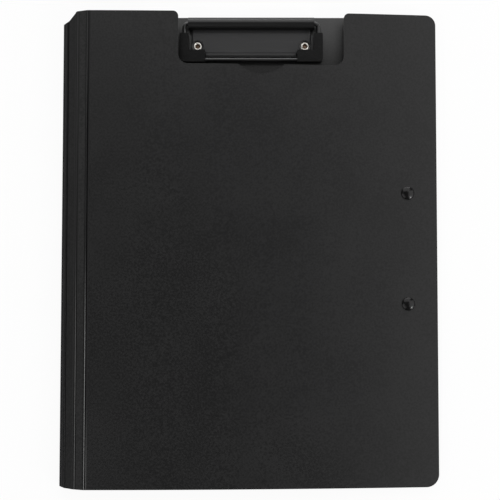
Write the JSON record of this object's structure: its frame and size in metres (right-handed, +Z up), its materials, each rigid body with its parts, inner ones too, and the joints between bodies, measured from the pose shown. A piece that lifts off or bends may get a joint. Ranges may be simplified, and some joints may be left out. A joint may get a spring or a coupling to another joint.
{
  "type": "foldover storage clipboard",
  "caption": "Foldover clipboard case for A4 paper: creased flexible spine, grained cover with a cut-out over a wire bail clip, press-stud closure and an inner storage pocket.",
  "frame": {"origin": "centre of the closed clipboard's footprint, on the surface that its back panel lies on", "axes": "+X from the spine to the free edge, +Y towards the clip end, +Z up out of the front cover"},
  "size_m": [0.2536, 0.318, 0.0178],
  "materials": {
    "sheet": "fine embossed grain, black",
    "pocket_film": "smooth black film",
    "clip_steel": "satin black",
    "clip_wire": "satin black",
    "grip_rubber": "matt black",
    "rivet_nickel": "bright nickel",
    "stud_plastic": "gloss black"
  },
  "bodies": {
    "back_board": {"back_panel": "sheet", "clip_base_plate": "clip_steel", "clip_rivets": "rivet_nickel", "clip_rivet_washers": "rivet_nickel", "press_stud_posts": "stud_plastic", "press_stud_back_caps": "stud_plastic"},
    "lower_inner_strip": {"spine_strip_lower_inner": "sheet"},
    "lower_outer_strip": {"spine_strip_lower_outer": "sheet"},
    "wall_strip": {"spine_wall": "sheet"},
    "upper_outer_strip": {"spine_strip_upper_outer": "sheet"},
    "upper_inner_strip": {"spine_strip_upper_inner": "sheet"},
    "cover": {"front_cover": "sheet", "inner_pocket": "pocket_film", "press_stud_caps": "stud_plastic", "press_stud_sockets": "stud_plastic"},
    "clip_bail": {"clip_spring_wire": "clip_wire", "clip_grip_left": "grip_rubber", "clip_grip_right": "grip_rubber"}
  },
  "joints": [
    {"name": "panel_crease", "type": "hinge", "parent": "back_board", "child": "lower_inner_strip", "pos_m": [-0.11081, 0, 0.0007], "axis": [0, -1, 0], "range_deg": [0, 2.4]},
    {"name": "lower_crease", "type": "hinge", "parent": "lower_inner_strip", "child": "lower_outer_strip", "pos_m": [-0.11861, 0, 0.00103], "axis": [0, -1, 0], "range_deg": [0, 14.6]},
    {"name": "wall_foot_crease", "type": "hinge", "parent": "lower_outer_strip", "child": "wall_strip", "pos_m": [-0.12607, 0, 0.00331], "axis": [0, -1, 0], "range_deg": [0, 106]},
    {"name": "wall_head_crease", "type": "hinge", "parent": "wall_strip", "child": "upper_outer_strip", "pos_m": [-0.12182, 0, 0.00985], "axis": [0, -1, 0], "range_deg": [0, 21]},
    {"name": "upper_crease", "type": "hinge", "parent": "upper_outer_strip", "child": "upper_inner_strip", "pos_m": [-0.11551, 0, 0.01443], "axis": [0, -1, 0], "range_deg": [0, 16]},
    {"name": "cover_crease", "type": "hinge", "parent": "upper_inner_strip", "child": "cover", "pos_m": [-0.10818, 0, 0.0171], "axis": [0, -1, 0], "range_deg": [0, 20.3]},
    {"name": "clip_bail_swing", "type": "hinge", "parent": "back_board", "child": "clip_bail", "pos_m": [0.00138, 0.1535, 0.0056], "axis": [-1, 0, 0], "range_deg": [0, 105]}
  ]
}
